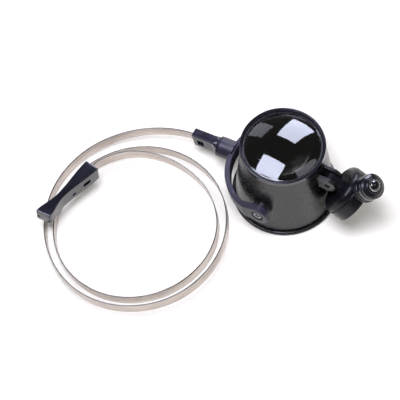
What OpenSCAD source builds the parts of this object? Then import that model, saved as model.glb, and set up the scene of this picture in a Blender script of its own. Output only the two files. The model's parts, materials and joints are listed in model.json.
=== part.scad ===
// Head-worn eye loupe: a conical eyecup with one lens tilts in a half-ring yoke,
// which a swivelling connector joins to a coiled spring-steel head band.
// A small lamp unit hangs on a hinge on the other side.
// Millimetres. The origin is the centre of the brim, +Z runs up the optical axis,
// -X points to the head band, and the two tilt screws lie along Y.

/* [Eyecup] */
// Height from the brim to the front of the bezel
cup_h = 33.6; // [30:0.2:41]
// Radius over the rounded brim
brim_r = 20; // [16.6:0.1:24]
// How far the brim stands out from the foot of the cone
brim_step = 1.25; // [1:0.05:2]
// Radius of the brim's rounded bead
bead_r = 0.8; // [0.6:0.1:1]
// Wall of the cone
cup_wall = 1.6; // [1.2:0.1:2]
// Wall around the lens seat
seat_wall = 0.8; // [0.7:0.05:1.2]

/* [Lens] */
// Radius of the lens
lens_r = 15; // [12.5:0.1:18]
// Thickness of the lens at its edge
lens_edge = 1.6; // [1:0.1:2.4]
// Radius of the lens's front face
lens_curve = 32; // [26:1:60]
// Radius of the lens's flatter back face
lens_back = 90; // [60:5:140]
// Width of the flat edge around each face
lens_flat = 0.7; // [0.5:0.05:1]
// Height of the ring under the lens
spacer_h = 1.3; // [0.8:0.1:2]
// How far the ledge under the spacer reaches in from the seat
ledge_w = 2.25; // [1.5:0.05:3]
// Thickness of the ledge
ledge_t = 1.2; // [0.8:0.1:2]

/* [Bezel] */
// Height of the bezel's outer side
bezel_h = 1.9; // [1.5:0.1:3]
// How far the bezel stands out from the cone
bezel_step = 0.22; // [0.1:0.02:0.6]
// Thickness of the lip over the lens
lip_t = 1.2; // [0.8:0.1:1.6]
// How far the lip reaches over the lens
lip_over = 0.25; // [0.15:0.05:0.5]

/* [Tilt yoke] */
// Height of the tilt screws above the brim
pivot_z = 14; // [11.8:0.2:17]
// Gap between the foot of the cone and the half ring
yoke_gap = 1.45; // [1.2:0.05:3]
// Radial thickness of the half ring
yoke_t = 2; // [1.6:0.1:3]
// Height of the half ring
yoke_h = 5.2; // [4:0.2:7]
// Radius of the two eyes
eye_r = 4.3; // [3.6:0.1:5.2]
// Thickness of the eyes
eye_t = 2.7; // [2.2:0.1:3.6]
// How far the pivot bosses stand out of the cone
boss_step = 0.85; // [0.6:0.05:1.2]
// Radius of the pivot bosses
boss_r = 3.6; // [2.8:0.1:4.2]
// Radius of the stub and of the connector's barrel
stub_r = 3.9; // [3.2:0.1:4.7]
// Length of the stub outside the half ring
stub_len = 4.6; // [3.8:0.1:5.6]

/* [Screws] */
// Shank radius of the tilt screws and the swivel screw
shank_r = 1.2; // [1:0.05:1.5]
// Head radius of the screws
head_r = 1.75; // [1.6:0.05:2.1]
// Head height of the screws
head_h = 0.8; // [0.6:0.05:1]
// Thickness of the friction washers
washer_t = 0.3; // [0.2:0.05:0.5]

/* [Band connector] */
// Length of the round barrel
barrel_len = 2.6; // [2.2:0.1:4]
// Radius of the hollow shoulder between barrel and block
shoulder_r = 1.6; // [1.2:0.1:2]
// Length of the flat block
block_len = 9.1; // [7.6:0.1:11]
// Thickness of the flat block
block_t = 3.6; // [3:0.1:4.4]
// Height of the flat block
block_h = 7.2; // [6.4:0.1:8]
// Length of the latch window
window_l = 2.5; // [2:0.1:3]
// Height of the latch window
window_h = 2.6; // [2:0.1:3.2]

/* [Head band] */
// Width of the strip
band_w = 4.7; // [4:0.1:5.6]
// Thickness of the strip
band_t = 0.45; // [0.35:0.05:0.6]
// Length of strip held inside the connector
band_hold = 6; // [4:0.5:7]
// How high the free end is lifted over the coil
band_lift = 6.6; // [6:0.1:8]
// Degrees the connector is turned on the stub, so that the coil leans over
band_swing = 2.3; // [0:0.1:4]
// Height of the end pad
pad_h = 7.6; // [6.4:0.1:9]
// Length of the end pad
pad_len = 27; // [23:0.5:33]
// Width of the pad at the end where the strip goes in
pad_wide = 5.7; // [5:0.1:7]
// Width of the pad at its waist
pad_waist = 2; // [1.8:0.1:2.6]
// Width of the pad at its far end
pad_tail = 5.7; // [5:0.1:7]

/* [Lamp] */
// Direction of the lamp around the cup, from +X
lamp_az = 3; // [-10:1:10]
// Elevation of the lamp's beam at rest
lamp_el = 57; // [50:1:70]
// Height of the lamp hinge above the brim
hinge_z = 24; // [22:0.2:27]
// Width of the tongue
tongue_w = 3.3; // [2.8:0.1:4]
// Radius of the tongue's round end
tongue_r = 2.4; // [2:0.1:2.6]
// How far the tongue and the ears sit to one side of the drum's middle
tongue_off = 1; // [0:0.1:1.6]
// Thickness of each ear
ear_t = 1.35; // [1.2:0.05:2]
// Radius of the ears' round end
ear_r = 3.7; // [3:0.1:4]
// Height of the ears' root above the hinge
ear_top = 4.2; // [3.8:0.1:5]
// Depth of the ears' root below the hinge
ear_drop = 3; // [2.4:0.1:3.6]
// Radius of the hinge pin
pin_r = 1.05; // [0.8:0.05:1.3]
// Distance of the hinge above the middle of the battery housing
arm_rise = 11; // [10.6:0.1:12]
// Distance of the hinge from the drum's axis, towards the beam
arm_shift = 2.6; // [2:0.1:4.4]
// Radius of the battery drum
drum_r = 9.7; // [9.5:0.1:11.6]
// Thickness of the battery housing
housing_t = 5.2; // [5:0.1:6.2]
// Thickness of the cap
cap_t = 3.4; // [3.2:0.1:3.8]
// Rounding of the cap's edge
cap_round = 2.6; // [1.8:0.1:2.8]
// Wall of the drum's rim
rim_wall = 1; // [0.8:0.05:1.3]
// Wall of the drum's faces
face_wall = 0.9; // [0.7:0.05:1.2]
// Radius of the coin cells
cell_r = 8; // [6.8:0.1:8.2]
// Thickness of one coin cell
cell_t = 1.6; // [1.2:0.1:1.6]
// Radius of the collar that carries the lamp
collar_r = 5; // [4.4:0.1:5.8]
// Radius of the lamp barrel
lamp_r = 4.8; // [4.2:0.1:5.6]
// Length of the lamp barrel
lamp_len = 5.2; // [4.6:0.1:6.2]
// Height of the domed nose
nose_h = 0.9; // [0.6:0.1:1.4]
// Radius of the bulb
bulb_r = 2.3; // [1.9:0.05:2.6]
// How far the bulb stands out of the nose
bulb_out = 1.7; // [1:0.1:2.4]

/* [Hidden] */
$fn = 96;

// Clearances: a running fit, parts pressed or laid together, a loose gap, and the
// strip's slack in the connector, where it already starts to bend
run = 0.05;
snug = 0.03;
loose = 0.1;
slot_gap = 0.2;

// Heights in the eyecup, from the top down
seat_z = cup_h - bezel_h;
edge_z = cup_h - lip_t;
lens_z = edge_z - lens_edge;
ledge_z = lens_z - spacer_h;
bead_z = bead_r - 0.1;
foot_r = brim_r - brim_step;
seat_r = lens_r + snug;
neck_r = seat_r + seat_wall;
rebate_r = seat_r + seat_wall / 2;
bezel_r = neck_r + bezel_step;
foot_z = 2 * bead_r;
face_r = lens_r - lens_flat;

// Outer radius of the cone at height z
function cone_r(z) = foot_r + (neck_r - foot_r) * (z - foot_z) / (seat_z - foot_z);

// Places along the tilt axis, from the cone outwards
boss_y = cone_r(pivot_z) + boss_step;
eye_y = boss_y + washer_t + loose;
recess_y = eye_y + eye_t - head_h - 0.2;
yoke_in = max(foot_r, neck_r) + yoke_gap;
yoke_out = yoke_in + yoke_t;
screw_len = head_h + 3.6;

// Places along the connector, outwards from the yoke's centre
stub_end = yoke_out + stub_len;
barrel_x = stub_end + run;
block_x = barrel_x + barrel_len;
connector_end = block_x + block_len;
slot_start = connector_end - band_hold;
window_x = connector_end - 4.9;
window_z = 0.8;

// Head band: arcs of [radius, degrees], each tangent to the next; the last bends into the pad
arcs = [
    [42.2, 50], [36.4, 50], [39.1, 60], [34.7, 60], [33, 80], [34.6, 80], [31.4, 80], [32.4, 80],
    [31.1, 80], [27, 80], [35.9, 40], [25.6, 32], [12, 24]
];
pad_hold = 8;
band_start = connector_end - 2.4;
loop_rings = 48;
lift_from = 655;
lift_to = 748;

function turned(i) = i == 0 ? 0 : turned(i - 1) + arcs[i - 1][1];
function outward(a) = [-sin(a), cos(a)];
function arc_centre(i) = i == 0 ? [-band_start, -arcs[0][0]]
    : arc_centre(i - 1) + (arcs[i - 1][0] - arcs[i][0]) * outward(turned(i));
centres = [for (i = [0 : len(arcs) - 1]) arc_centre(i)];
starts = [for (i = [0 : len(arcs)]) turned(i)];
band_turn = starts[len(arcs)];
function arc_of(a, i = 0) = i == len(arcs) - 1 || a < starts[i + 1] ? i : arc_of(a, i + 1);
function band_xy(a) = centres[arc_of(a)] + arcs[arc_of(a)][0] * outward(a);
function ease(t) = let (c = min(max(t, 0), 1)) c * c * (3 - 2 * c);
function lift(a) = band_lift * ease((a - lift_from) / (lift_to - lift_from));

// One ring of the strip is [x, y, z, turn]
lead_in = [for (x = [slot_start : (band_start - slot_start) / 3 : band_start - 0.1]) [-x, 0, 0, 0]];
coil_n = ceil(loop_rings * band_turn / 360);
coil = [for (k = [0 : coil_n]) let (a = band_turn * k / coil_n) [each band_xy(a), lift(a), a]];
pad_start = band_xy(band_turn);
tail = [for (s = [2 : 2 : pad_hold])
    [each pad_start - s * [cos(band_turn), sin(band_turn)], band_lift, band_turn]];
rings = concat(lead_in, coil, tail);

// The coil's lowest edge rests on the same table as the brim, which sets the yoke's droop:
// the least angle that brings the lower edge of any ring down by the height of the pivot
half_w = band_w / 2;
function edge_out(r) = band_t / 2 - r[0];
function edge_down(r) = (half_w - r[2]) * cos(band_swing) + (band_t / 2 - r[1]) * sin(band_swing);
droop = min([for (r = coil) let (a = edge_out(r), b = edge_down(r)) if (norm([a, b]) > pivot_z && a > 0)
    asin(pivot_z / norm([a, b])) - atan2(b, a)]);
echo(str("droop of the yoke: ", droop, " degrees"));

function strip_gap(p, q) = norm([
    max(norm([p[0] - q[0], p[1] - q[1]]) - band_t, 0), max(abs(p[2] - q[2]) - band_w, 0)]);
least_gap = min([for (p = coil) for (q = coil) if (q[3] - p[3] > 180) strip_gap(p, q)]);
echo(str("least gap between the band's turns: ", least_gap, " mm"));

// Lamp: heights in the drum's own frame, whose X is the beam and Z points to the cup
housing_top = housing_t / 2;
cap_top = housing_top + cap_t;
rim_in = drum_r - rim_wall;
floor_z = -housing_top + face_wall;
plate_t = 0.25;
cell_z = floor_z + plate_t;
cells_top = cell_z + 2 * cell_t;
board_t = 0.6;
board_z = cap_top - face_wall - board_t - 0.6;
board_r = rim_in - 0.5;
lip_in = rim_in - 0.55;
slider_t = 0.5;
slider_z = board_z + board_t + run;
slider_a = -35;
slider_w = 22;
slider_travel = 10;
slider_up = max(slider_z + slider_t / 2 - cap_top + cap_round, 0);
slider_r = drum_r - cap_round + sqrt(cap_round * cap_round - slider_up * slider_up) + 0.45;
collar_x = drum_r + 0.35;
collar_len = 1.6;
spigot_r = lamp_r - 0.75;
spigot_len = 1.2;
barrel_x0 = collar_x + collar_len;
nose_x = barrel_x0 + lamp_len;
holder_len = 2.4;
holder_x = nose_x - 0.6 - holder_len;
bulb_x = holder_x - 0.9;
lead_r = 0.2;
lead_y = 1.27;
lead_at = cell_r + min(0.37, (rim_in - cell_r) / 2);
lead_x = sqrt(lead_at * lead_at - lead_y * lead_y);
nest_h = cells_top - floor_z - 0.5;
nest_gap = lead_y + 0.9;

// The hinge stands out just far enough for the drum's low inner edge to clear the cone
drum_gap = 0.3;
low_x = -(drum_r - cap_round) - arm_shift;
low_z = cap_top - cap_round - arm_rise;
low_out = low_x * cos(lamp_el) - low_z * sin(lamp_el);
low_up = low_x * sin(lamp_el) + low_z * cos(lamp_el);
hinge_x = cone_r(hinge_z + low_up) + drum_gap + cap_round - low_out;
ear_y = tongue_w / 2 + loose;

// Placing: the yoke's plane droops about the tilt axis, and the lamp has its own frames
module on_yoke() translate([0, 0, pivot_z]) rotate([0, -droop, 0]) children();
module on_band() on_yoke() rotate([band_swing, 0, 0]) children();
module on_hinge() rotate([0, 0, lamp_az]) translate([hinge_x, 0, hinge_z]) children();
module on_drum() on_hinge() rotate([0, -lamp_el, 0]) translate([-arm_shift, 0, -arm_rise]) children();
module on_beam(x) on_drum() translate([x, 0, 0]) rotate([0, 90, 0]) children();
module both_sides() {
    children();
    rotate([0, 0, 180]) children();
}
// A cylinder along +Y whose near face is at y
module rod_y(r, y, h) translate([0, y, 0]) rotate([-90, 0, 0]) cylinder(r = r, h = h);
// A cylinder along -X whose near face is at -x
module rod_x(r, x, h) translate([-x, 0, 0]) rotate([0, -90, 0]) cylinder(r = r, h = h);
module ring(r_out, r_in, h) difference() {
    cylinder(r = r_out, h = h);
    translate([0, 0, -1]) cylinder(r = r_in, h = h + 2);
}
module cross_cut(w, depth) for (a = [0, 90]) rotate([0, 0, a])
    translate([-head_r * 0.62, -w / 2, -depth]) cube([head_r * 1.24, w, depth + 1]);

module cup_profile() difference() {
    union() {
        polygon([
            [cone_r(0) - cup_wall, 0], [brim_r - bead_r, 0], [brim_r - bead_r, bead_z],
            [foot_r, foot_z], [neck_r, seat_z], [rebate_r, seat_z], [rebate_r, seat_z + 0.5],
            [seat_r, seat_z + 0.5], [seat_r, ledge_z], [seat_r - ledge_w, ledge_z],
            [seat_r - ledge_w, ledge_z - ledge_t],
            [cone_r(ledge_z - ledge_t) - cup_wall, ledge_z - ledge_t]
        ]);
        translate([brim_r - bead_r, bead_z]) circle(r = bead_r);
    }
    translate([0, -5]) square([brim_r + 5, 5]);
}

module ear_outline() {
    circle(r = ear_r);
    polygon([[-root_l, -ear_drop], [0, -ear_r], [0, ear_r], [-root_l, ear_top]]);
}
root_l = hinge_x - (neck_r - 0.5);

module eyecup() color("#1c1c20") difference() {
    union() {
        rotate_extrude($fn = 180) cup_profile();
        // Pivot bosses and lamp ears, cut back to the inside of the cone
        difference() {
            union() {
                both_sides() translate([0, 0, pivot_z])
                    rod_y(boss_r, foot_r - cup_wall - 1, boss_y - foot_r + cup_wall + 1);
                on_hinge() for (y = [ear_y, -ear_y - ear_t]) translate([0, y - tongue_off + ear_t, 0])
                    rotate([90, 0, 0]) linear_extrude(ear_t) ear_outline();
            }
            translate([0, 0, -1]) cylinder(r1 = cone_r(-1) - cup_wall / 2,
                r2 = cone_r(cup_h) - cup_wall / 2, h = cup_h + 1);
        }
    }
    both_sides() translate([0, 0, pivot_z])
        rod_y(shank_r + snug, recess_y - screw_len + head_h - 0.2, screw_len);
    on_hinge() rod_y(pin_r + snug, -tongue_off - ear_y - ear_t - 1, 2 * (ear_y + ear_t + 1));
}

module front_bezel() color("#26262c") rotate_extrude($fn = 180) difference() {
    union() {
        translate([rebate_r + snug, seat_z]) square([bezel_r - rebate_r - snug, bezel_h - 0.35]);
        translate([lens_r - lip_over, edge_z]) square([bezel_r - lens_r + lip_over - 0.35, lip_t]);
        translate([bezel_r - 0.35, cup_h - 0.35]) circle(r = 0.35);
    }
    // Shallow groove round the front and a sloped inner edge
    translate([lens_r + 0.3, cup_h - 0.25]) square([0.3, 1]);
    polygon([[lens_r - lip_over - 1, edge_z + 0.4], [lens_r - lip_over, edge_z + 0.4],
        [lens_r + 0.3, cup_h + 0.001], [lens_r - lip_over - 1, cup_h + 0.001]]);
}

module lens_face(z, side, curve) intersection() {
    translate([0, 0, z - side * sqrt(curve * curve - face_r * face_r)]) sphere(r = curve, $fn = 180);
    translate([0, 0, side > 0 ? z - 0.2 : z - 8]) cylinder(r = face_r, h = 8.2, $fn = 180);
}
module lens() color("#cfe0e8", 0.5) {
    translate([0, 0, lens_z]) cylinder(r = lens_r, h = lens_edge, $fn = 180);
    lens_face(edge_z, 1, lens_curve);
    lens_face(lens_z, -1, lens_back);
}

module lens_spacer() color("#5a5a5e") translate([0, 0, ledge_z])
    ring(lens_r, face_r + 0.05, spacer_h, $fn = 180);

// The ring's ends widen into the eyes where its inner face meets theirs
arm_l = sqrt(yoke_in * yoke_in - eye_y * eye_y) + 0.3;
arm_low = yoke_h / 2 - 0.1;
arm_high = eye_r - 0.15;
module yoke_arms() intersection() {
    for (y = [eye_y, -eye_y - eye_t]) translate([0, y + eye_t, 0]) rotate([90, 0, 0])
        linear_extrude(eye_t) polygon([
            [-arm_l, -arm_low], [0, -arm_high], [0, arm_high], [-arm_l, arm_low]
        ]);
    cylinder(r = yoke_out - 0.1, h = 4 * eye_r, center = true);
}
module tilt_yoke() color("#1b1b1f") on_yoke() difference() {
    union() {
        yoke_arms();
        intersection() {
            translate([0, 0, -yoke_h / 2]) rotate([0, 0, 92])
                rotate_extrude(angle = 176, $fn = 180) translate([yoke_in, 0]) square([yoke_t, yoke_h]);
            cube([3 * yoke_out, 2 * (eye_y + eye_t), 2 * yoke_h], center = true);
        }
        both_sides() rod_y(eye_r, eye_y, eye_t);
        rod_x(stub_r, yoke_in + 0.6, stub_end - yoke_in - 0.6);
    }
    both_sides() rod_y(shank_r + run, eye_y - 1, eye_t + 2);
    both_sides() rod_y(head_r + 0.15, recess_y, 4);
    rod_x(shank_r + run, yoke_in - 1, stub_len + yoke_t + 2);
    rod_x(head_r + run, yoke_in - 1, 1 + head_h + 0.2);
}

module pivot_screws() color("#77777c") both_sides() on_screw() difference() {
    union() {
        rod_y(shank_r, recess_y - screw_len + head_h, screw_len - head_h);
        rod_y(head_r, recess_y, head_h);
    }
    translate([0, recess_y + head_h, 0]) rotate([-90, 20, 0]) cross_cut(0.45, 0.45);
}
module on_screw() translate([0, 0, pivot_z]) children();

module friction_washers() color("#d8d8d4") both_sides() on_screw() difference() {
    rod_y(boss_r - 0.3, boss_y, washer_t);
    rod_y(shank_r + run, boss_y - 1, washer_t + 2);
}

// Plan of the connector: the barrel narrows to the block through two hollow shoulders
module connector_plan() {
    translate([-block_x, -stub_r]) square([barrel_len, 2 * stub_r]);
    translate([-connector_end, -block_t / 2]) square([connector_end - barrel_x, block_t]);
    difference() {
        translate([-block_x - shoulder_r, -block_t / 2 - shoulder_r])
            square([shoulder_r, block_t + 2 * shoulder_r]);
        for (s = [-1, 1]) translate([-block_x - shoulder_r, s * (block_t / 2 + shoulder_r)])
            circle(r = shoulder_r);
    }
}
module block_section(w, h, r) {
    square([w - 2 * r, h], center = true);
    square([w, h - 2 * r], center = true);
    for (x = [-1, 1]) for (y = [-1, 1]) translate([x * (w / 2 - r), y * (h / 2 - r)]) circle(r = r, $fn = 32);
}
module band_connector() color("#1f1f24") on_band() difference() {
    union() {
        intersection() {
            rod_x(stub_r, barrel_x, barrel_len + shoulder_r);
            translate([0, 0, -stub_r]) linear_extrude(2 * stub_r) connector_plan();
        }
        translate([-connector_end, 0, 0]) rotate([90, 0, 90])
            linear_extrude(block_len + 0.5) block_section(block_t, block_h, 0.5);
    }
    translate([-connector_end - 1, -band_t / 2 - slot_gap, -half_w - loose])
        cube([band_hold + 1 + run, band_t + 2 * slot_gap, band_w + 2 * loose]);
    translate([-window_x - window_l / 2, -block_t, window_z - window_h / 2])
        cube([window_l, 2 * block_t, window_h]);
    rod_x(shank_r + snug, barrel_x - 1, 3.2);
}

module swivel_screw() color("#8a8a90") on_band() difference() {
    union() {
        rod_x(head_r, yoke_in + 0.2, head_h);
        rod_x(shank_r, yoke_in + 0.2, barrel_x + 2 - yoke_in - 0.2);
    }
    translate([-yoke_in - 0.2, 0, 0]) rotate([0, 90, 0]) cross_cut(0.45, 0.45);
}

// Strip swept along its rings: four corners each, quads cut into triangles
module head_band() color("#d2c9bf") on_band() {
    n = len(rings);
    corners = [for (r = rings) for (c = [[-1, -1], [1, -1], [1, 1], [-1, 1]])
        let (o = outward(r[3]) * c[0] * band_t / 2) [r[0] + o[0], r[1] + o[1], r[2] + c[1] * half_w]];
    sides = [for (i = [0 : n - 2]) for (k = [0 : 3]) let (a = 4 * i + k, b = 4 * i + (k + 1) % 4)
        each [[a, b + 4, b], [a, a + 4, b + 4]]];
    last = 4 * (n - 1);
    ends = [[0, 1, 2], [0, 2, 3], [last, last + 2, last + 1], [last, last + 3, last + 2]];
    polyhedron(points = corners, faces = concat(sides, ends));
}

// Half width and half height of the pad along its length, t from 0 to 1. It is straight and
// level, narrow at the waist, and both its end faces are a little askew.
waist_t = 0.64;
pad_steps = 26;
function pad_half_w(t) = t < waist_t
    ? pad_waist / 2 + (pad_wide - pad_waist) / 2 * (1 - ease(t / waist_t))
    : pad_waist / 2 + (pad_tail - pad_waist) / 2 * ease((t - waist_t) / (1 - waist_t));
function pad_half_h(t) = pad_h / 2 - 0.9 * pow(max(t - 0.45, 0) / 0.55, 1.6)
    - 0.1 * pow(max(0.35 - t, 0) / 0.35, 2);
function pad_point(t, y) = [t * pad_len - y * (0.09 + 0.2 * t), y];
pad_run = [for (k = [0 : pad_steps]) k / pad_steps];
pad_back = [for (k = [pad_steps : -1 : 0]) k / pad_steps];
module at_pad() on_band() translate([pad_start[0], pad_start[1], band_lift]) children();
module end_pad() color("#23232b") difference() {
    at_pad() rotate([-band_swing, 0, 0]) rotate([0, droop, 0]) rotate([0, 0, 180 + band_turn]) difference() {
        intersection() {
            translate([0, 0, -pad_h]) linear_extrude(2 * pad_h) polygon(concat(
                [for (t = pad_run) pad_point(t, pad_half_w(t))],
                [for (t = pad_back) pad_point(t, -pad_half_w(t))]));
            rotate([90, 0, 0]) linear_extrude(6 * pad_wide, center = true) polygon(concat(
                [for (t = pad_run) [(1.2 * t - 0.1) * pad_len, pad_half_h(t)]],
                [for (t = pad_back) [(1.2 * t - 0.1) * pad_len, -pad_half_h(t)]]));
        }
        // Latch slit in the inner side, and the hole in the far end
        translate([pad_hold / 2, 0.6, -1]) cube([3.8, pad_wide, 1.2]);
        translate([pad_len - 3.2, -1.7, -0.5]) rotate([0, 90, 0]) cylinder(r = 0.45, h = 6, $fn = 32);
    }
    // Slot for the strip
    at_pad() rotate([0, 0, 180 + band_turn]) translate([-2, -band_t / 2 - loose, -half_w - loose])
        cube([2 + pad_hold + run, band_t + 2 * loose, band_w + 2 * loose]);
}

// Drum cap and tongue in one piece
module lamp_arm() color("#1a1a1e") on_drum() difference() {
    union() {
        rotate_extrude($fn = 120) {
            translate([0, housing_top + run]) square([drum_r, cap_t - cap_round - run]);
            translate([0, housing_top + run]) square([drum_r - cap_round, cap_t - run]);
            intersection() {
                translate([drum_r - cap_round, cap_top - cap_round]) circle(r = cap_round);
                translate([0, housing_top + run]) square([drum_r, cap_t]);
            }
        }
        translate([0, 0, housing_top - 1]) ring(rim_in - run, lip_in, 1.2);
        translate([arm_shift, 0, arm_rise]) rod_y(tongue_r, -tongue_off - tongue_w / 2, tongue_w);
        translate([arm_shift - tongue_r, -tongue_off - tongue_w / 2, cap_top - 0.3])
            cube([2 * tongue_r, tongue_w, arm_rise - cap_top + 0.3]);
    }
    translate([0, 0, housing_top - 2]) cylinder(r = lip_in, h = board_z - housing_top + 2);
    translate([0, 0, board_z - run]) cylinder(r = board_r + run, h = cap_top - face_wall - board_z + run);
    translate([arm_shift, 0, arm_rise]) rod_y(pin_r + run, -tongue_w, 2 * tongue_w);
    // Slit for the switch slider, which lets it travel round the rim
    rotate([0, 0, slider_a - slider_travel - 0.6]) translate([0, 0, slider_z - run])
        rotate_extrude(angle = slider_w + slider_travel + 1.2) translate([board_r - 0.5, 0])
            square([3, slider_t + 2 * run]);
}

// The pin ends short of the ears' outer faces, in their holes
pin_half = ear_y + ear_t - 0.6;
module lamp_hinge_pin() color("#6f6f74") on_hinge() rod_y(pin_r, -tongue_off - pin_half, 2 * pin_half);

module battery_housing() color("#1c1c20") on_drum() {
    // Nest that centres the cells, open where the leads come in
    translate([0, 0, floor_z - 0.1]) difference() {
        ring(rim_in + 0.1, cell_r + loose, nest_h + 0.1, $fn = 120);
        translate([cell_r - 2, -nest_gap, -1]) cube([rim_in - cell_r + 3, 2 * nest_gap, nest_h + 3]);
    }
    housing_shell();
}
module housing_shell() difference() {
    union() {
        rotate_extrude($fn = 120) {
            translate([0, -housing_top]) square([drum_r - 0.5, housing_t]);
            translate([0, -housing_top + 0.5]) square([drum_r, housing_t - 0.5]);
            translate([drum_r - 0.5, -housing_top + 0.5]) circle(r = 0.5);
        }
        translate([rim_in, 0, 0]) rotate([0, 90, 0]) cylinder(r = housing_t / 2, h = collar_x - rim_in + 0.1);
        translate([collar_x, 0, 0]) rotate([0, 90, 0]) cylinder(r = collar_r, h = collar_len);
        translate([barrel_x0 - 0.1, 0, 0]) rotate([0, 90, 0]) cylinder(r = spigot_r, h = spigot_len + 0.1);
    }
    translate([0, 0, floor_z]) cylinder(r = rim_in, h = housing_t, $fn = 120);
    translate([rim_in - 1, 0, 0]) rotate([0, 90, 0]) cylinder(r = lead_y + 0.5, h = 8);
}

module coin_cells() color("#b8b8ba") on_drum() for (k = [0, 1]) translate([0, 0, cell_z + k * cell_t]) {
    cylinder(r = cell_r - 1, h = cell_t - snug);
    translate([0, 0, 0.3]) cylinder(r = cell_r, h = cell_t - 0.3 - snug);
}

module contact_plate() color("#c8b070") on_drum() translate([0, 0, floor_z]) {
    cylinder(r = 5, h = plate_t);
    translate([0, lead_y - 0.8, 0]) cube([lead_x - 0.35, 1.6, plate_t]);
}

// Bowed leaf between the upper cell and the board
spring_gap = board_z - cells_top;
leaf_t = 0.2;
leaf_half = 4.5;
leaf_sag = spring_gap - leaf_t;
leaf_r = (leaf_half * leaf_half + leaf_sag * leaf_sag) / (2 * leaf_sag);
module contact_spring() color("#c8b070") on_drum() intersection() {
    translate([0, 0, board_z - leaf_r]) difference() {
        rod_y(leaf_r, -1.5, 3);
        rod_y(leaf_r - leaf_t, -2, 4);
    }
    translate([-leaf_half, -2, cells_top]) cube([2 * leaf_half, 4, spring_gap]);
}

module switch_board() color("#2f6b45") on_drum() translate([0, 0, board_z]) cylinder(r = board_r, h = board_t);

module resistor() color("#303030") on_drum() translate([-3, 3.2, board_z - 0.5]) cube([1.6, 0.8, 0.5]);

module switch_slider() color("#2c2c32") on_drum() rotate([0, 0, slider_a])
    rotate_extrude(angle = slider_w, $fn = 120) {
        translate([board_r - 1.6, slider_z]) square([slider_r - board_r + 1.6, slider_t]);
    }

module lamp_barrel() color("#202024") on_beam(barrel_x0) difference() {
    cylinder(r = lamp_r, h = lamp_len);
    translate([0, 0, -1]) cylinder(r = spigot_r + snug, h = lamp_len - 0.6 + 1);
    cylinder(r = lamp_r - 1.4, h = lamp_len + 1);
    for (z = [0.9, 3.6]) translate([0, 0, z]) ring(lamp_r + 1, lamp_r - 0.35, 0.5);
}

module lamp_nose() color("#18181c") on_beam(nose_x) difference() {
    union() {
        cylinder(r1 = lamp_r - 0.2, r2 = bulb_r + 0.5, h = nose_h);
        translate([0, 0, -0.6]) cylinder(r = lamp_r - 1.4 - snug, h = 0.7);
    }
    translate([0, 0, -2]) cylinder(r = bulb_r + snug, h = nose_h + 4);
}

module led_holder() color("#303034") on_beam(holder_x)
    ring(spigot_r, bulb_r + snug, holder_len);

module led() color("#e8ecf0", 0.7) on_beam(bulb_x) {
    cylinder(r = bulb_r + 0.3, h = 0.85);
    cylinder(r = bulb_r, h = nose_x + nose_h + bulb_out - bulb_x - 1.2);
    translate([0, 0, nose_x + nose_h + bulb_out - bulb_x - 1.2]) intersection() {
        translate([0, 0, -1.2]) sphere(r = norm([bulb_r, 1.2]));
        cylinder(r = bulb_r, h = 4);
    }
}

module led_leads() color("#b0b0b4") on_drum() for (s = [1, -1]) {
    foot = s > 0 ? floor_z + plate_t / 2 : cells_top - 0.2;
    translate([lead_x, s * lead_y, 0]) rotate([0, 90, 0]) cylinder(r = lead_r, h = bulb_x - lead_x, $fn = 24);
    translate([lead_x, s * lead_y, min(foot, 0)]) cylinder(r = lead_r, h = abs(foot), $fn = 24);
    translate([lead_x, s * lead_y, 0]) sphere(r = lead_r, $fn = 24);
}

eyecup();
front_bezel();
lens();
lens_spacer();
tilt_yoke();
pivot_screws();
friction_washers();
band_connector();
swivel_screw();
head_band();
end_pad();
lamp_arm();
lamp_hinge_pin();
battery_housing();
coin_cells();
contact_plate();
contact_spring();
switch_board();
resistor();
switch_slider();
lamp_barrel();
lamp_nose();
led_holder();
led();
led_leads();
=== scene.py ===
# %% [markdown]
# # A head-worn eye loupe, piece by piece
# The object is the single-eye magnifier that watchmakers wear: a black plastic eyecup with
# one lens, a half-ring yoke, a coiled band of spring steel and a small lamp on a hinge.
# The construction model is loaded first. It is a fixed frame: its solids say where each
# piece is and how big it is, and this script gives every piece its looks. The sizes of the
# pieces are in millimetres; finishes, camera, floor and lights are in metres.

# %% Load the frame
import json
import math
import bpy
import numpy as np
from mathutils import Matrix


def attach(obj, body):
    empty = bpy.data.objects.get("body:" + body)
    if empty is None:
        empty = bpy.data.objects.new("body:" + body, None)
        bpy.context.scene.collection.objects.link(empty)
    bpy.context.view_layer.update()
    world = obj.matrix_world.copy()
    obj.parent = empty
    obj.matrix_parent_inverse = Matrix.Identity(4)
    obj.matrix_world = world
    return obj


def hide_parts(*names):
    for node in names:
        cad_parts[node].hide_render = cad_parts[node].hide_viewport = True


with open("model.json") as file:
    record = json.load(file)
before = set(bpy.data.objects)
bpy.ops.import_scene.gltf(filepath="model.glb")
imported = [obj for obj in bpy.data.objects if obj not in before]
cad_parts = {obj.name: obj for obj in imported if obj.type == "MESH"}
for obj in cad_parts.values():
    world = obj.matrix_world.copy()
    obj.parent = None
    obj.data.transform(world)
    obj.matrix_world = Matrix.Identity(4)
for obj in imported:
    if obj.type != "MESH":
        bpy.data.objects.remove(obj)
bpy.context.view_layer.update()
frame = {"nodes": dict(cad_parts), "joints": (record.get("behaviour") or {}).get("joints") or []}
nodes, joints = frame["nodes"], {j["name"]: j for j in frame["joints"]}

# %% [markdown]
# ## A surface is a grid of points
# Almost every piece below is a function of two parameters, worked out as one numpy array of
# rows and columns. Neighbouring points become four-sided faces. Where a row shrinks to one
# point, as at the top of a dome, or the last column falls on the first, the doubled points
# are welded, so the skin is closed. A closed skin has a signed volume, the sum of the small
# pyramids between the origin and each face. If that comes out negative the faces point
# inwards, and they are turned round.

# %% Grids into meshes
MM = 0.001
SHARP = math.radians(38)


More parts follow.
